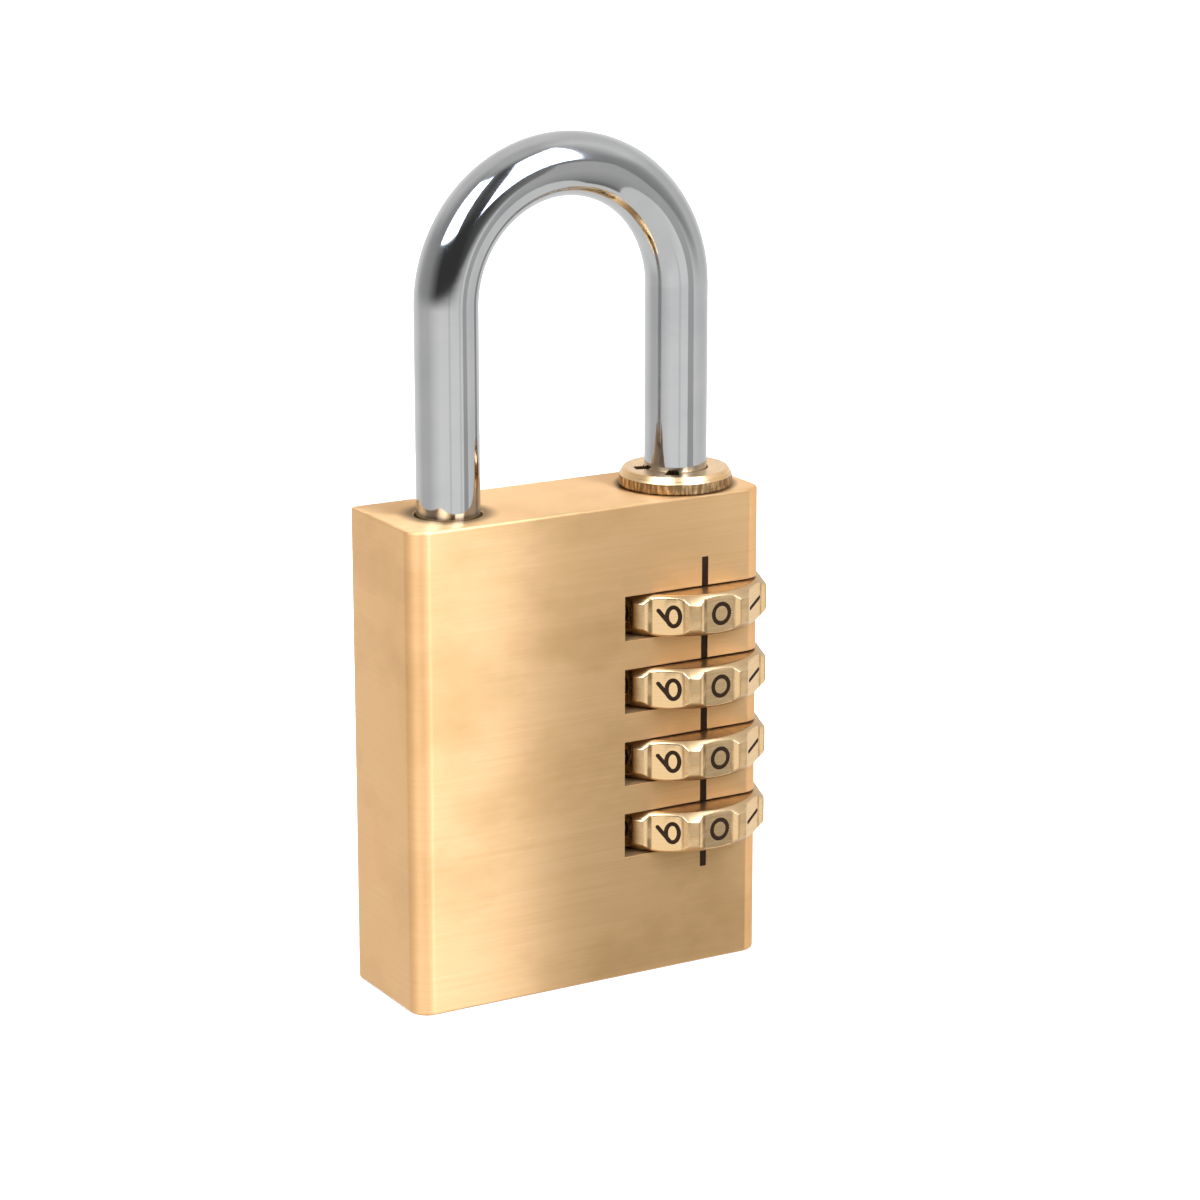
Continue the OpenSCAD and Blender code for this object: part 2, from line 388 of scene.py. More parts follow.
def brushed_brass():
    """Satin brass with fine straight brushing around the sides and along the top.

    Its rounded corners are duller and less grained, and its top has painted shade around the two legs.
    """
    material, graph = new_material("brushed_brass")
    where = graph.node("ShaderNodeTexCoord")
    x, y, z = graph.split(where.outputs["Object"])
    normal_x, normal_y, normal_z = graph.split(where.outputs["Normal"])
    level = graph.math("GREATER_THAN", graph.math("ABSOLUTE", normal_z), 0.72)
    upright = graph.math("SUBTRACT", 1.0, level)
    corner = graph.math("ABSOLUTE", graph.math("MULTIPLY", normal_x, normal_y))
    along = graph.math("ADD", x, graph.math("MULTIPLY", y, upright))
    across = graph.math("ADD", graph.math("MULTIPLY", z, upright), graph.math("MULTIPLY", y, level))
    wander = graph.noise(where.outputs["Object"], 120.0, 1.0)
    across = graph.math("ADD", across, graph.math("MULTIPLY", wander, 0.0003))
    fine = graph.noise(graph.vector(graph.math("MULTIPLY", along, 90.0),
                                    graph.math("MULTIPLY", across, 9000.0), 0.0), 1.0, 3.0, 0.6)
    coarse = graph.noise(graph.vector(graph.math("MULTIPLY", along, 35.0),
                                      graph.math("MULTIPLY", across, 2400.0), 3.0), 1.0, 2.0, 0.55)
    cloud = graph.noise(where.outputs["Object"], 90.0, 3.0)
    tarnish = graph.noise(graph.vector(graph.math("MULTIPLY", x, 60.0), graph.math("MULTIPLY", y, 60.0),
                                       graph.math("MULTIPLY", z, 95.0)), 1.0, 4.0, 0.6)
    streaks = graph.math("ADD", graph.math("MULTIPLY", fine, 0.6), graph.math("MULTIPLY", coarse, 0.4))
    colour = graph.mix(graph.remap(streaks, 0.35, 0.65, 0.0, 1.0),
                       (0.87, 0.53, 0.24, 1), (0.96, 0.615, 0.30, 1))
    colour = graph.mix(graph.remap(cloud, 0.3, 0.7, 0.0, 0.45), colour, (0.85, 0.50, 0.21, 1))
    colour = graph.mix(graph.remap(tarnish, 0.48, 0.72, 0.0, 0.5), colour, (0.62, 0.35, 0.13, 1))
    # Painted shade: the top is darkened to brown in a ring around the toe leg and around the collar, where
    # they shade it.
    leg_contact_shade = graph.math("MAXIMUM", around(graph, x, y, (toe_x, heel.y), wire_r + 0.3, wire_r + 2.2),
                       around(graph, x, y, heel, collar_r, collar_r + 0.8))
    leg_contact_shade = graph.math("MULTIPLY", leg_contact_shade, graph.remap(normal_z, 0.6, 0.9, 0.0, 0.85))
    colour = graph.mix(leg_contact_shade, colour, (0.13, 0.075, 0.025, 1))
    roughness = graph.remap(streaks, 0.3, 0.7, 0.30, 0.38)
    roughness = graph.math("ADD", roughness, graph.remap(corner, 0.03, 0.22, 0.0, 0.27))
    grained = graph.remap(corner, 0.03, 0.22, 1.0, 0.55)
    across_grain = graph.vector(0.0, level, upright)
    waves = graph.noise(graph.vector(x, y, graph.math("MULTIPLY", z, 0.35)), 190.0, 1.0)
    height = graph.math("ADD", streaks, graph.math("MULTIPLY", waves, 3.0))
    bump_mm = 0.006
    finish_material(graph, colour, roughness, height, bump_mm, Tangent=across_grain, Metallic=1.0,
                    Anisotropic=grained)
    return material


def recess_shaded_brass():
    """Duller brass inside the slots and bores, painted darker as the shade in them."""
    material, graph = new_material("recess_shaded_brass")
    where = graph.node("ShaderNodeTexCoord").outputs["Object"]
    x, y, z = graph.split(where)
    marks = graph.noise(graph.vector(graph.math("MULTIPLY", x, 500.0), graph.math("MULTIPLY", y, 3000.0),
                                     graph.math("MULTIPLY", z, 500.0)), 1.0, 2.0, 0.6)
    cloud = graph.noise(where, 400.0, 3.0)
    colour = graph.mix(graph.remap(cloud, 0.3, 0.7, 0.0, 1.0), (0.42, 0.27, 0.11, 1), (0.62, 0.42, 0.20, 1))
    roughness = graph.remap(marks, 0.3, 0.7, 0.50, 0.66)
    bump_mm = 0.004
    finish_material(graph, colour, roughness, marks, bump_mm, Metallic=1.0)
    return material


# Each function below gives where turned brass is painted dark brown, largely as painted shade, from 0 to 1,
# from the place relative to the part's axis.

def chatter_and_side_shade(graph, dx, dy, z, _radius):
    """Irregular upright chatter marks on a turned outer wall, dark and wide enough to paint shade over most
    of it.
    """
    turn = graph.math("MULTIPLY", graph.math("ARCTAN2", dy, dx), 14.0)
    chatter = graph.noise(graph.vector(turn, graph.math("MULTIPLY", z, 500.0), 7.0), 1.0, 3.0, 0.6)
    normal_z = graph.split(graph.node("ShaderNodeTexCoord").outputs["Normal"])[2]
    beside = graph.remap(normal_z, 0.2, 0.5, 1.0, 0.0)
    return graph.math("MULTIPLY", graph.remap(chatter, 0.45, 0.68, 0.88, 0.0), beside)


def wheel_shade_and_dull_ribs(graph, dx, dy, z, radius):
    """Painted shade in the corners beside a wheel's flats and on its rims and sides, and ribs that are
    darker and duller outside.

    Most of the corner shade lies along one edge of each flat.
    """
    turn = graph.math("ARCTAN2", dx, graph.math("MULTIPLY", dy, -1.0))
    turn = graph.node("ShaderNodeMath", {0: turn, 1: digit_step / 2, 2: -digit_step / 2}, operation="WRAP")
    along = graph.math("MULTIPLY", radius, graph.math("SINE", turn.outputs[0]))
    edge = flat_half_w * MM
    # Painted shade along the edges of each flat, heaviest along one of them.
    from_heavy_shade_edge = graph.math("ABSOLUTE", graph.math("ADD", along, edge + 0.06 * MM))
    heavy_side_shade = graph.remap(from_heavy_shade_edge, 0.10 * MM, 0.32 * MM, 0.85, 0.0, True)
    from_other_edge = graph.math("ABSOLUTE", graph.math("SUBTRACT", along, edge + 0.04 * MM))
    other = graph.remap(from_other_edge, 0.05 * MM, 0.18 * MM, 0.5, 0.0, True)
    outside = graph.remap(radius, (flat_r + 0.04) * MM, (flat_r + 0.12) * MM, 0.0, 1.0)
    uneven = graph.remap(graph.noise(graph.vector(dx, dy, z), 700.0, 2.0), 0.35, 0.6, 0.55, 1.0)
    beside_flats = graph.math("MULTIPLY", graph.math("MAXIMUM", heavy_side_shade, other), outside)
    corners = graph.math("MULTIPLY", beside_flats, uneven)
    # The ribs' outer faces are painted darker.
    ribs = graph.remap(radius, (wheel_r - 0.12) * MM, (wheel_r - 0.03) * MM, 0.0, 0.42)
    # Painted shade on the wheel's rims and upper and lower faces.
    normal_z = graph.split(graph.node("ShaderNodeTexCoord").outputs["Normal"])[2]
    sides = graph.remap(graph.math("ABSOLUTE", normal_z), 0.45, 0.70, 0.0, 0.48)
    return graph.math("MAXIMUM", corners, graph.math("MAXIMUM", graph.math("MULTIPLY", ribs, uneven), sides))


def turned_brass(name, dark, light, rough_low, rough_high, centre, shade_painter=None):
    """Brass with fine lathe lines around an upright axis at centre, in millimetres.

    The last argument, if given, works out where the brass is painted dark brown, largely as painted shade.
    """
    lines_per_mm = 9.0
    bump_mm = 0.003
    shade_brown = (0.18, 0.10, 0.035, 1)
    material, graph = new_material(name)
    where = graph.node("ShaderNodeTexCoord").outputs["Object"]
    x, y, z = graph.split(where)
    dx, dy, radius = from_axis(graph, x, y, centre)
    across = graph.math("MULTIPLY", graph.math("ADD", radius, z), lines_per_mm / MM)
    slow_x = graph.math("MULTIPLY", dx, 150.0)
    slow_y = graph.math("MULTIPLY", dy, 150.0)
    lines = graph.noise(graph.vector(slow_x, slow_y, across), 1.0, 3.0, 0.6)
    cloud = graph.noise(where, 260.0, 2.0)
    colour = graph.mix(graph.remap(lines, 0.35, 0.65, 0.0, 1.0), dark, light)
    if shade_painter:
        # Painted shade and marks: the brass is mixed towards dark brown where the function asks for it.
        painted_dark = shade_painter(graph, dx, dy, z, radius)
        colour = graph.mix(painted_dark, colour, shade_brown)
    mottled = graph.math("ADD", graph.math("MULTIPLY", lines, 0.5), graph.math("MULTIPLY", cloud, 0.5))
    roughness = graph.remap(mottled, 0.3, 0.7, rough_low, rough_high)
    if shade_painter:
        roughness = graph.math("ADD", roughness, graph.math("MULTIPLY", painted_dark, 0.2))
    finish_material(graph, colour, roughness, lines, bump_mm, Metallic=1.0)
    return material


def mirror_steel():
    """Polished plating with faint lengthwise draw lines and the slow ripple of hand polishing."""
    material, graph = new_material("mirror_steel")
    where = graph.node("ShaderNodeTexCoord").outputs["Object"]
    x, y, z = graph.split(where)
    drawn = graph.noise(graph.vector(graph.math("MULTIPLY", x, 2600.0),
                                     graph.math("MULTIPLY", y, 2600.0),
                                     graph.math("MULTIPLY", z, 40.0)), 1.0, 3.0, 0.6)
    ripple = graph.noise(where, 330.0, 2.0)
    cloud = graph.noise(where, 180.0, 3.0)
    colour = graph.mix(graph.remap(cloud, 0.3, 0.7, 0.0, 1.0),
                       (0.46, 0.466, 0.472, 1), (0.52, 0.521, 0.52, 1))
    roughness = graph.remap(cloud, 0.35, 0.75, 0.05, 0.11)
    height = graph.math("ADD", ripple, graph.math("MULTIPLY", drawn, 0.04))
    bump_mm = 0.012
    finish_material(graph, colour, roughness, height, bump_mm, Metallic=1.0)
    return material


def spring_steel():
    """Grey drawn wire."""
    material, graph = new_material("spring_steel")
    where = graph.node("ShaderNodeTexCoord").outputs["Object"]
    grain = graph.noise(where, 2200.0, 3.0)
    cloud = graph.noise(where, 300.0, 2.0)
    colour = graph.mix(cloud, (0.34, 0.35, 0.36, 1), (0.50, 0.50, 0.51, 1))
    roughness = graph.remap(grain, 0.3, 0.7, 0.25, 0.42)
    bump_mm = 0.004
    finish_material(graph, colour, roughness, grain, bump_mm, Metallic=1.0)
    return material


def black_enamel():
    """Matt brown-black filling, slightly uneven, as it dries in a groove."""
    material, graph = new_material("black_enamel")
    where = graph.node("ShaderNodeTexCoord").outputs["Object"]
    grain = graph.noise(where, 4500.0, 3.0)
    cloud = graph.noise(where, 500.0, 2.0)
    colour = graph.mix(cloud, (0.009, 0.004, 0.0015, 1), (0.028, 0.013, 0.005, 1))
    roughness = graph.remap(cloud, 0.3, 0.7, 0.5, 0.7)
    bump_mm = 0.01
    finish_material(graph, colour, roughness, grain, bump_mm, **{"Specular IOR Level": 0.07})
    return material


BRASS = brushed_brass()
RECESS_SHADED_BRASS = recess_shaded_brass()
STEEL = mirror_steel()
SPRING = spring_steel()
ENAMEL = black_enamel()
COLLAR_BRASS = turned_brass("collar_brass", (0.74, 0.46, 0.21, 1), (0.93, 0.64, 0.34, 1),
                            0.24, 0.34, heel, chatter_and_side_shade)
WHEEL_BRASS = turned_brass("wheel_brass", (0.84, 0.56, 0.28, 1), (0.93, 0.67, 0.37, 1),
                           0.21, 0.31, (0, 0), wheel_shade_and_dull_ribs)
SLEEVE_BRASS = turned_brass("sleeve_brass", (0.52, 0.29, 0.11, 1), (0.70, 0.43, 0.19, 1),
                            0.26, 0.42, heel)


# ---------------------------------------------------------------- body

# The body's corners: signs of x and y, angle at which the corner's arc starts, and radius.
CORNERS = [(1, 1, 0, back_corner_r), (-1, 1, 90, back_corner_r),
           (-1, -1, 180, corner_r), (1, -1, 270, corner_r)]


def body_ring(inset, z):
    """The body's rounded outline, drawn in by an inset, at one height."""
    corner_steps = 14
    least_r = 0.02
    points = []
    for sx, sy, start, radius in CORNERS:
        cx, cy = sx * (body_w / 2 - radius), sy * (body_d / 2 - radius)
        r = max(radius - inset, least_r)
        for step in range(corner_steps + 1):
            angle = math.radians(start + 90 * step / corner_steps)
            points.append((cx + r * math.cos(angle), cy + r * math.sin(angle), z))
    return points


def skin_depth(x, y):
    """How far inside the body's outline a point lies."""
    radius = corner_r if y < 0 else back_corner_r
    dx = abs(x) - (body_w / 2 - radius)
    dy = abs(y) - (body_d / 2 - radius)
    if dx > 0 and dy > 0:
        return radius - math.hypot(dx, dy)
    return radius - max(dx, dy)


def slot_cutters():
    """One cutter for each wheel's slot, with a pocket at its left for the click spring."""
    cutters = []
    for k in WHEELS:
        low, high = wheel_place[k].z - slot_h / 2, wheel_place[k].z + slot_h / 2
        wall = slot_left_x - pocket_depth
        outline = [(slot_left_x, -body_d), (body_w, -body_d), (body_w, body_d), (slot_left_x, body_d),
                   (slot_left_x, heel.y + pocket_w / 2), (wall, heel.y + pocket_w / 2),
                   (wall, heel.y - pocket_w / 2), (slot_left_x, heel.y - pocket_w / 2)]
        cutters.append(prism(outline, low, high))
    return cutters


def make_body():
    bends = [math.radians(18 * i) for i in range(6)]
    low_edge = [(edge_round * (1 - math.sin(a)), edge_round * (1 - math.cos(a))) for a in bends]
    high_edge = [(inset, body_h - z) for inset, z in reversed(low_edge)]
    solid = from_rings([body_ring(inset, z) for inset, z in low_edge + high_edge])
    shoulder = wheel_place[1].z + sleeve_h / 2 + shoulder_gap
    neck_r = keyway_r - 0.2
    mouth = 0.15
    well = [(bore_r + mouth, -1), (bore_r + mouth, 0), (bore_r, mouth), (bore_r, shoulder),
            (neck_r, shoulder), (neck_r, collar_low.z), (collar_seat_r, collar_low.z),
            (collar_seat_r, body_h + 1)]
    toe_hole_r = wire_r + toe_hole_gap
    toe_hole = [(toe_hole_r, toe_tip_z - toe_hole_floor_gap), (toe_hole_r, body_h - toe_hole_flare),
                (toe_hole_r + 2 * toe_hole_flare, body_h + toe_hole_flare)]
    cutters = slot_cutters()
    cutters.append(drum(well, heel))
    cutters.append(drum(toe_hole, (toe_x, heel.y)))
    groove_w = inlay_high.x - inlay_low.x
    groove_depth = 0.3
    cutters.append(block((heel.x - groove_w / 2, body_low.y - 1, inlay_low.z),
                         (heel.x + groove_w / 2, body_low.y + groove_depth, inlay_high.z)))
    cutters += [pin_drill(z, pin_hole_gap) for z in PIN_HEIGHTS]
    solid = combine(solid, cutters, "DIFFERENCE")
    slot_sides = [wheel_place[k].z + side * slot_h / 2 for k in WHEELS for side in (-1, 1)]

    def slot_rim(edge):
        """Whether the edge is where a slot opens in the body's sides."""
        near = 0.01
        if not all(skin_depth(v.co.x, v.co.y) < 2 * near for v in edge.verts):
            return False
        level = all(any(abs(v.co.z - z) < near for z in slot_sides) for v in edge.verts)
        upright = all(abs(v.co.x - slot_left_x) < near for v in edge.verts)
        return level or upright

    soften(solid, slot_rim_round, slot_rim)
    # Faces deeper than the skin take the darker brass: painted shade inside the slots and bores.
    for face in solid.faces:
        middle = face.calc_center_median()
        depth = min(skin_depth(middle.x, middle.y), middle.z, body_h - middle.z)
        face.material_index = 1 if depth > skin else 0
    body = piece("padlock_body", solid, BRASS, "case", ["lock_body"])
    body.data.materials.append(RECESS_SHADED_BRASS)


# ---------------------------------------------------------------- shackle

def wire_ring(centre_x, radius, out_x, out_z, z):
    """A ring across the wire. out is the direction away from the bow's centre."""
    steps = 96
    ring = []
    for i in range(steps):
        angle = 2 * math.pi * i / steps
        c, s = radius * math.cos(angle), radius * math.sin(angle)
        ring.append((centre_x + c * out_x, heel.y + s, z + c * out_z))
    return ring


def make_shackle():
    heel_tip_z = shackle_low.z

    def tip(z):
        """Radii and heights of a leg's chamfered end, from its flat up."""
        corner = [(0.8, z), (wire_r - tip_chamfer, z), (wire_r, z + tip_chamfer), (wire_r, z + 3)]
        return rounded(corner, 0.4, closed=False)

    rings = [wire_ring(toe_x, r, -1, 0, z) for r, z in tip(toe_tip_z)]
    arc_steps = 120
    for i in range(arc_steps + 1):
        angle = math.pi * (1 - i / arc_steps)
        out_x, out_z = math.cos(angle), math.sin(angle)
        rings.append(wire_ring(heel.x * out_x, wire_r, out_x, out_z, bow_z + heel.x * out_z))
    rings += [wire_ring(heel.x, r, 1, 0, z) for r, z in reversed(tip(heel_tip_z))]
    solid = from_rings(rings)
    teeth = []
    for k in WHEELS:
        top = wheel_place[k].z + sleeve_h / 2 - flange_h - tooth_gap
        root_r = wire_r - 0.5
        tooth = spoke(math.radians(-90), root_r, tooth_r, tooth_w, top - tooth_h, top, heel)
        teeth.append(soften(tooth, tooth_round))
    solid = combine(solid, teeth, "UNION")
    piece("shackle_bow", solid, STEEL, "shackle", ["shackle"])


# ---------------------------------------------------------------- collar

def make_collar():
    top = collar_high.z
    gap = 0.02
    chamfer = 0.1
    neck_r = collar_seat_r - gap
    foot = body_h + gap
    outline = [(collar_bore_r, collar_low.z), (neck_r, collar_low.z), (neck_r, foot),
               (collar_r - chamfer, foot), (collar_r, foot + chamfer), (collar_r, top - collar_slope_h),
               (collar_top_r, top), (collar_bore_r + chamfer, top), (collar_bore_r, top - chamfer)]
    solid = lathe(rounded(outline, 0.12), heel, 160)
    cutters = [spoke(a, wire_r - 1, keyway_r, keyway_w, collar_low.z - 1, top + 1, heel)
               for a in KEYWAY_ANGLES]
    cutters.append(pin_drill(PIN_HEIGHTS[0], 0))
    solid = combine(solid, cutters, "DIFFERENCE")
    piece("collar_ring", solid, COLLAR_BRASS, "case", ["reset_collar"])


# ---------------------------------------------------------------- number wheels

def wheel_columns():
    """Angle and outer radius around one wheel: a flat, a flank, a rib and a flank for each digit."""
    columns = []
    rib_edge = digit_step / 2 - rib_half_angle
    for digit in DIGITS:
        middle = digit * digit_step
        for i in range(-4, 5):
            s = flat_half_w * i / 4
            columns.append((middle + math.atan2(s, flat_r), math.hypot(s, flat_r)))
        for i in range(5):
            columns.append((middle + rib_edge + 2 * rib_half_angle * i / 4, wheel_r))
    return columns


def wheel_blank():
    """A wheel without its notches and digits, centred on the origin."""
    half = wheel_h / 2
    shoulder_r = wheel_r - wheel_chamfer
    rings = []
    for angle, r in wheel_columns():
        top_r = min(r, shoulder_r)
        drop = max(r - shoulder_r, 0.02)
        profile = [(lip_bore_r, half), (top_r - 0.02, half), (r, half - drop), (r, -half + drop),
                   (top_r - 0.02, -half), (bore_r, -half), (bore_r, half - lip_h),
                   (lip_bore_r, half - lip_h)]
        rings.append([polar(radius, angle, z) for radius, z in profile])
    blank = from_rings(rings, joined=True)
    outer = bore_r + 1
    return soften(blank, wheel_round, lambda edge: all(v.co.xy.length > outer for v in edge.verts), 3)


def ring_stroke(u, v, ru, rv):
    return ("arc", u, v, ru, rv, 0, 360)


# Strokes of the digits, upright and centred, in millimetres: straight lines and elliptical arcs.
GLYPHS = {
    0: [ring_stroke(0, 0, 1.0, 0.92)],
    1: [("line", 0.28, -1.2, -0.28, 1.2)],
    2: [("arc", 0, 0.40, 0.85, 0.65, 165, -30), ("line", 0.74, 0.07, -0.9, -1.05),
        ("line", -0.9, -1.05, 0.95, -1.05)],
    3: [("arc", 0, 0.52, 0.78, 0.53, 155, -90), ("arc", 0, -0.53, 0.92, 0.54, 90, -155)],
    4: [("line", 0.42, -1.1, 0.42, 1.1), ("line", 0.42, 1.1, -1.0, -0.45),
        ("line", -1.0, -0.45, 1.0, -0.45)],
    5: [("line", 0.8, 1.05, -0.62, 1.05), ("line", -0.62, 1.05, -0.76, 0.1),
        ("arc", 0, -0.38, 0.92, 0.68, 145, -150)],
    6: [ring_stroke(0, -0.42, 0.98, 0.66), ("line", -0.84, -0.12, 0.6, 1.1)],
    7: [("line", -0.9, 1.05, 0.9, 1.05), ("line", 0.9, 1.05, -0.3, -1.1)],
    8: [ring_stroke(0, 0.55, 0.76, 0.5), ring_stroke(0, -0.52, 0.94, 0.55)],
    9: [ring_stroke(0, 0.42, 0.98, 0.66), ("line", 0.84, 0.12, -0.6, -1.1)],
}
stroke_w = 0.44
digit_shift = 0.22
engraving_depth = 0.14
fill_drop = 0.03
fill_gap = 0.004
floor_step = 0.004


def stroke_outlines(stroke, half_w):
    """The outline of a stroke with round ends, or the outer and inner outline of a ring."""
    if stroke[0] == "line":
        _, u0, v0, u1, v1 = stroke
        path = [Vector((u0, v0)), Vector((u1, v1))]
    else:
        _, u, v, ru, rv, start, end = stroke
        steps = max(8, round(abs(end - start) / 10))
        angles = [math.radians(start + (end - start) * i / steps) for i in range(steps + 1)]
        if abs(end - start) == 360:
            sizes = [(ru + half_w, rv + half_w), (ru - half_w, rv - half_w)]
            return [[Vector((u + a * math.cos(t), v + b * math.sin(t))) for t in angles[:-1]]
                    for a, b in sizes]
        path = [Vector((u + ru * math.cos(t), v + rv * math.sin(t))) for t in angles]
    left, right = [], []
    for i, point in enumerate(path):
        ahead = (path[min(i + 1, len(path) - 1)] - path[max(i - 1, 0)]).normalized()
        side = Vector((-ahead.y, ahead.x)) * half_w
        left.append(point + side)
        right.append(point - side)

    def round_end(centre, first):
        turn = first - centre
        return [centre + Matrix.Rotation(-math.pi * i / 6, 2) @ turn for i in range(1, 6)]

    return [left + round_end(path[-1], left[-1]) + right[::-1] + round_end(path[0], right[0])]


def stroke_solid(stroke, digit, half_w, low, high):
    """A stroke as a solid that stands on the digit's flat, turned a quarter turn clockwise."""
    outlines = stroke_outlines(stroke, half_w)
    place = Matrix.Rotation(digit * digit_step, 4, "Z") @ Matrix.Translation((digit_shift, -flat_r, 0))
    stand = place @ Matrix(((0, 1, 0, 0), (0, 0, -1, 0), (-1, 0, 0, 0), (0, 0, 0, 1)))
    if len(outlines) == 1:
        return prism(outlines[0], low, high, stand)
    outer, inner = outlines
    rings = [[(*p, low) for p in outer], [(*p, high) for p in outer],
             [(*p, high) for p in inner], [(*p, low) for p in inner]]
    return placed(from_rings(rings, joined=True), stand)


def digit_solids(half_w, depth, high):
    """All ten digits. Each stroke is a hair deeper than the last, so that no two floors are level."""
    solids = []
    for digit in DIGITS:
        for i, stroke in enumerate(GLYPHS[digit]):
            low = -depth - floor_step * i
            solids.append(stroke_solid(stroke, digit, half_w, low, high + floor_step / 2 * i))
    return solids


def make_wheels():
    half = wheel_h / 2
    notch_low = half - lip_h - 0.01
    notches = [spoke(d * digit_step, lip_bore_r - 1, bore_r, notch_w, notch_low, half + 1, (0, 0))
               for d in DIGITS]
    engraving = digit_solids(stroke_w / 2, engraving_depth, 1)
    wheel = combine(wheel_blank(), notches + engraving, "DIFFERENCE")
    strokes = digit_solids(stroke_w / 2 - fill_gap, engraving_depth - 0.01, -fill_drop)
    fill = combine(strokes[0], strokes[1:], "UNION")
    first = piece("wheel_1", wheel, WHEEL_BRASS, "wheel_1", ["number_wheel_1"],
                  wheel_place[1])
    digits = piece("digits_1", fill, ENAMEL, "wheel_1", (), wheel_place[1])
    for k in WHEELS[1:]:
        mesh_piece(f"wheel_{k}", first.data, WHEEL_BRASS, f"wheel_{k}",
                   [f"number_wheel_{k}"], wheel_place[k])
        mesh_piece(f"digits_{k}", digits.data, ENAMEL, f"wheel_{k}", (), wheel_place[k])


# ---------------------------------------------------------------- spring and plain inner parts

def make_spring():
    """A round-wire compression spring."""
    steps_per_turn = 48
    sides = 16
    radius = (spring_high.x - spring_low.x) / 2 - spring_wire_r
    low = spring_low.z + spring_wire_r
    high = spring_high.z - spring_wire_r
    steps = spring_turns * steps_per_turn
    rings = []
    for i in range(steps + 1):
        angle = 2 * math.pi * i / steps_per_turn
        out = Vector((math.cos(angle), math.sin(angle), 0))
        middle = Vector((heel.x, heel.y, low + (high - low) * i / steps)) + out * radius
        ring = []
        for j in range(sides):
            turn = 2 * math.pi * j / sides
            rise = Vector((0, 0, spring_wire_r * math.sin(turn)))
            ring.append(middle + out * spring_wire_r * math.cos(turn) + rise)
        rings.append(ring)
    spring = piece("stack_spring_wire", from_rings(rings), SPRING, "case",
                   ["stack_spring"])
    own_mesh(spring)


def finish_cad_nodes():
    """Better materials for the CAD nodes that keep their own shape."""
    materials = {"collar_pin": COLLAR_BRASS, "plug_pin": COLLAR_BRASS, "end_plug": COLLAR_BRASS,
                 "index_inlay": ENAMEL, "spring_seat": SPRING}
    for k in WHEELS:
        materials[f"clutch_sleeve_{k}"] = SLEEVE_BRASS
        materials[f"click_spring_{k}"] = SPRING
    for name, material in materials.items():
        node = frame["nodes"][name]
        node.data.materials.clear()
        node.data.materials.append(material)


# ---------------------------------------------------------------- studio

def stage_plane(name, corners, material):
    """A flat sheet of the studio, with its corners in millimetres."""
    mesh = bmesh.new()
    mesh.faces.new([mesh.verts.new(Vector(c) * MM) for c in corners])
    data = bpy.data.meshes.new(name)
    mesh.to_mesh(data)
    mesh.free()
    data.materials.append(material)
    thing = bpy.data.objects.new(name, data)
    bpy.context.scene.collection.objects.link(thing)
    return thing


def make_floor():
    """A plain pale floor just under the lock. It is not in the lock's reflections."""
    material, graph = new_material("floor_white")
    pale = (0.92, 0.92, 0.92, 1)
    shader = graph.node("ShaderNodeBsdfPrincipled", {"Base Color": pale, "Roughness": 0.9,
                                                     "Specular IOR Level": 0.0})
    graph.node("ShaderNodeOutputMaterial", {0: shader.outputs[0]})
    size = 4000
    z = -0.02
    corners = [(-size, -size, z), (size, -size, z), (size, size, z), (-size, size, z)]
    floor = stage_plane("floor", corners, material)
    floor.visible_glossy = False


# Brightness of the studio around the lock, in pairs: angle in degrees from the front towards +X, and level.
# The three lists are for directions below the horizon, at it and above it.
BELOW = [(-180, 1.0), (-150, 0.96), (-128, 0.76), (-95, 0.76), (-70, 1.0), (-50, 1.14),
         (-22, 1.14), (-17, 0.88), (-12, 1.14), (16, 1.14), (21, 0.88), (26, 1.12),
         (45, 1.0), (75, 0.9), (110, 0.92), (150, 0.98), (180, 1.0)]
LEVEL = [(-180, 1.0), (-165, 0.95), (-156, 0.85), (-143, 0.62), (-128, 0.50), (-97, 0.40),
         (-80, 0.22), (-62, 0.06), (-10, 0.06), (10, 0.12), (27, 0.32), (52, 0.46),
         (61, 0.60), (70, 0.84), (98, 0.80), (116, 1.0), (180, 1.0)]
ABOVE = [(-180, 0.90), (-145, 0.80), (-127, 0.62), (-110, 0.43), (-90, 0.40), (-42, 0.20),
         (-20, 0.10), (0, 0.20), (44, 0.50), (58, 0.80), (72, 1.0), (92, 0.92),
         (115, 0.84), (150, 0.92), (180, 0.90)]
ceiling_level = 0.70
softbox_level = 8.6
softbox_tint = (0.88, 1.0, 1.25)


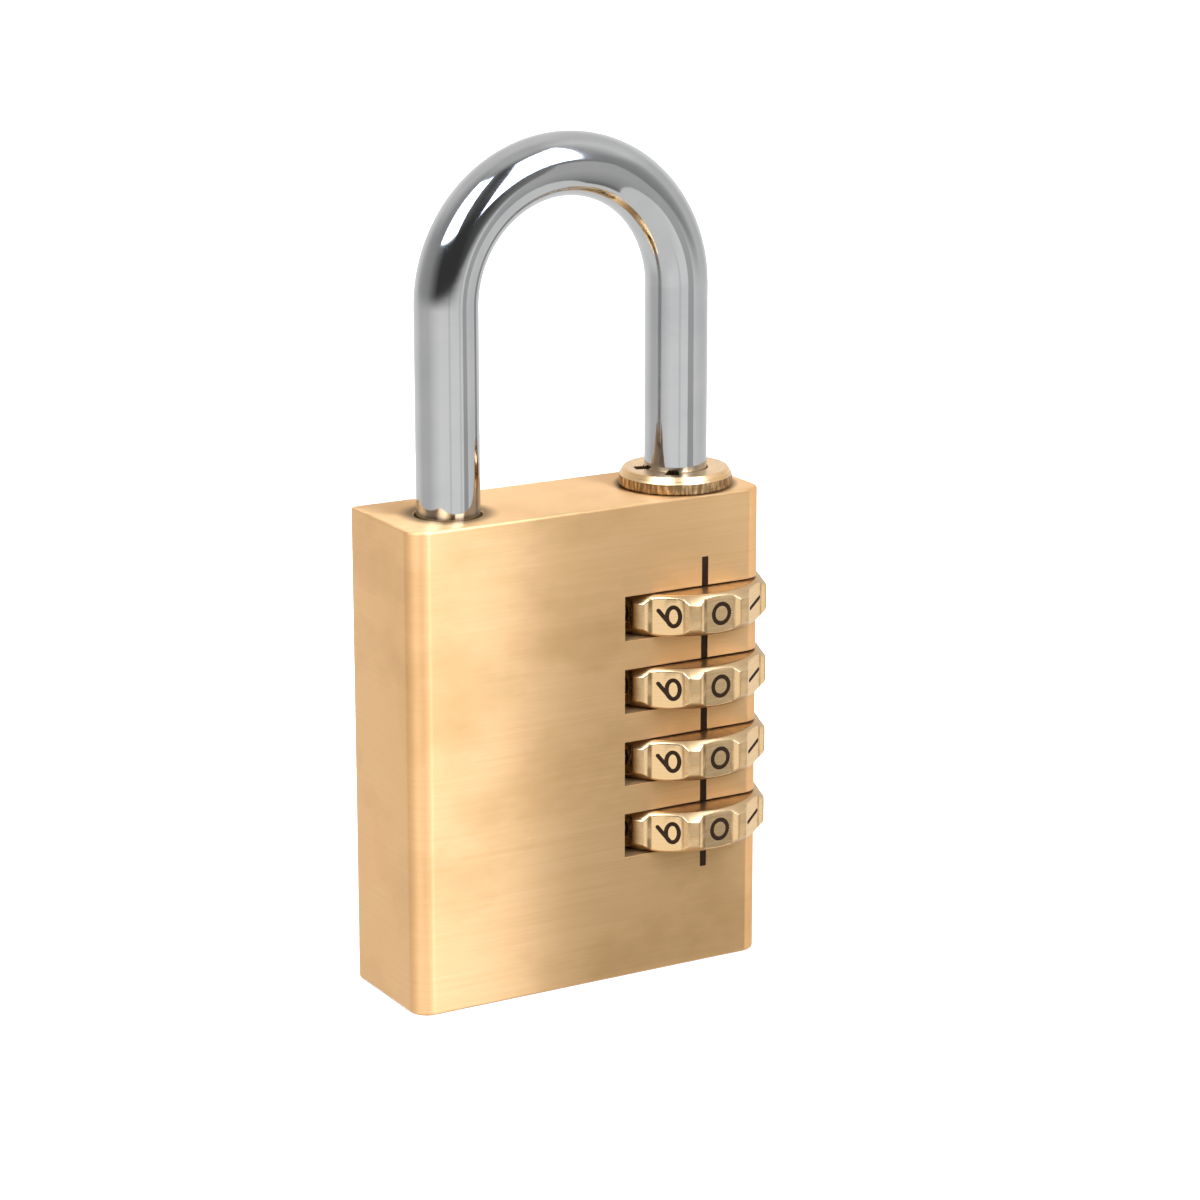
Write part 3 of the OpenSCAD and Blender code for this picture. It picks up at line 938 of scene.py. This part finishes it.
def make_world():
    """What the lock reflects: three bands, a ceiling and two softboxes. The camera sees plain white."""
    to_degrees = 180 / math.pi
    world = bpy.data.worlds.new("studio")
    bpy.context.scene.world = world
    world.use_nodes = True
    world.node_tree.nodes.clear()
    graph = Graph(world.node_tree)
    direction = graph.node("ShaderNodeTexCoord").outputs["Generated"]
    x, y, z = graph.split(direction)
    forward = graph.math("MULTIPLY", y, -1.0)
    azimuth = graph.math("MULTIPLY", graph.math("ARCTAN2", x, forward), to_degrees)
    elevation = graph.math("MULTIPLY", graph.math("ARCSINE", z), to_degrees)

    def band(levels):
        """Brightness around the horizon, from a list of angles and levels."""
        peak = max(level for _, level in levels)
        ramp = graph.node("ShaderNodeValToRGB", {0: graph.remap(azimuth, -180, 180, 0, 1)})
        stops = ramp.color_ramp.elements
        while len(stops) < len(levels):
            stops.new(0.5)
        for stop, (angle, level) in zip(stops, levels):
            stop.position = (angle + 180) / 360
            stop.color = (level / peak, level / peak, level / peak, 1)
        return graph.math("MULTIPLY", ramp.outputs[0], peak)

    def lay(value, mask, level):
        """value, with the masked directions set to a level."""
        keep = graph.math("MULTIPLY", value, graph.math("SUBTRACT", 1.0, mask))
        return graph.math("ADD", keep, graph.math("MULTIPLY", mask, level))

    def rise(low, high):
        """0 below one elevation and 1 above another, in degrees."""
        return graph.remap(elevation, low, high, 0, 1, True)

    def softbox(left, right, low, high, lean=0.0):
        """1 inside a lit rectangle and 0 outside. Its right side leans out by lean degrees per degree up."""
        blur = 1.5
        limit = graph.math("ADD", graph.math("MULTIPLY", elevation, lean), right)
        value = graph.remap(azimuth, left - blur, left + blur, 0, 1, True)
        beyond = graph.math("SUBTRACT", azimuth, limit)
        for side in (graph.remap(beyond, -blur, blur, 1, 0, True),
                     graph.remap(elevation, low - blur, low + blur, 0, 1, True),
                     graph.remap(elevation, high - blur, high + blur, 1, 0, True)):
            value = graph.math("MULTIPLY", value, side)
        return value

    light = lay(1.0, rise(-32, -16), band(BELOW))
    light = lay(light, rise(-12, -1), band(LEVEL))
    light = lay(light, rise(20, 36), band(ABOVE))
    light = lay(light, rise(62, 82), ceiling_level)
    boxes = graph.math("MAXIMUM", softbox(-88, -43, 27, 66), softbox(-3, 25, 17, 64, 0.32))
    colour = graph.vector(*[lay(light, boxes, softbox_level * tint) for tint in softbox_tint])
    glow = graph.node("ShaderNodeBackground", {0: colour, 1: 1.0})
    plain = graph.node("ShaderNodeBackground", {0: (1.0, 1.0, 1.0, 1), 1: 1.0})
    seen = graph.node("ShaderNodeLightPath").outputs["Is Camera Ray"]
    both = graph.node("ShaderNodeMixShader", {0: seen, 1: glow.outputs[0], 2: plain.outputs[0]})
    graph.node("ShaderNodeOutputWorld", {0: both.outputs[0]})


def make_card():
    """A dim upright card at the front right, brighter towards its top and seen only in reflections."""
    material, graph = new_material("card_grey")
    height = graph.split(graph.node("ShaderNodeTexCoord").outputs["Object"])[2]
    level = graph.remap(height, -40 * MM, 60 * MM, 0.27, 0.65)
    glow = graph.node("ShaderNodeEmission", {0: (1.0, 1.0, 1.0, 1), 1: level})
    graph.node("ShaderNodeOutputMaterial", {0: glow.outputs[0]})
    low = -80
    high = 95
    corners = [(27, -68, low), (80, -64, low), (50, -66, high), (28, -68, high)]
    card = stage_plane("card", corners, material)
    card.visible_camera = False
    card.visible_diffuse = False
    card.visible_shadow = False


def make_lamp():
    """A large soft lamp overhead for the floor and its soft shadow."""
    lamp = bpy.data.lights.new("overhead", "AREA")
    lamp.shape = "DISK"
    lamp.size = 1.2
    lamp.energy = 14
    thing = bpy.data.objects.new("overhead", lamp)
    bpy.context.scene.collection.objects.link(thing)
    thing.location = (-0.2, -0.3, 1.3)
    thing.rotation_euler = (-thing.location).to_track_quat("-Z", "Y").to_euler()
    thing.visible_glossy = False


def make_camera():
    """The camera stands in front and to the left, a little above the lock."""
    turn = math.radians(30.0)
    tilt = math.radians(15.1)
    aim_height = 38.85
    aim_right = 4.02
    distance = 365.4 * MM
    flat = Vector((math.sin(turn), math.cos(turn), 0))
    ahead = flat * math.cos(tilt) - Vector((0, 0, math.sin(tilt)))
    side = Vector((math.cos(turn), -math.sin(turn), 0))
    aim = (Vector((0, 0, aim_height)) + side * aim_right) * MM
    data = bpy.data.cameras.new("camera")
    data.sensor_width = 36
    data.lens = 108.8
    camera = bpy.data.objects.new("camera", data)
    bpy.context.scene.collection.objects.link(camera)
    camera.location = aim - ahead * distance
    camera.rotation_euler = ahead.to_track_quat("-Z", "Y").to_euler()
    data.clip_start = 0.01
    bpy.context.scene.camera = camera


make_camera()
make_body()
make_shackle()
make_collar()
make_wheels()
make_spring()
finish_cad_nodes()
make_floor()
make_world()
make_card()
make_lamp()
bpy.context.scene.view_settings.view_transform = "Standard"
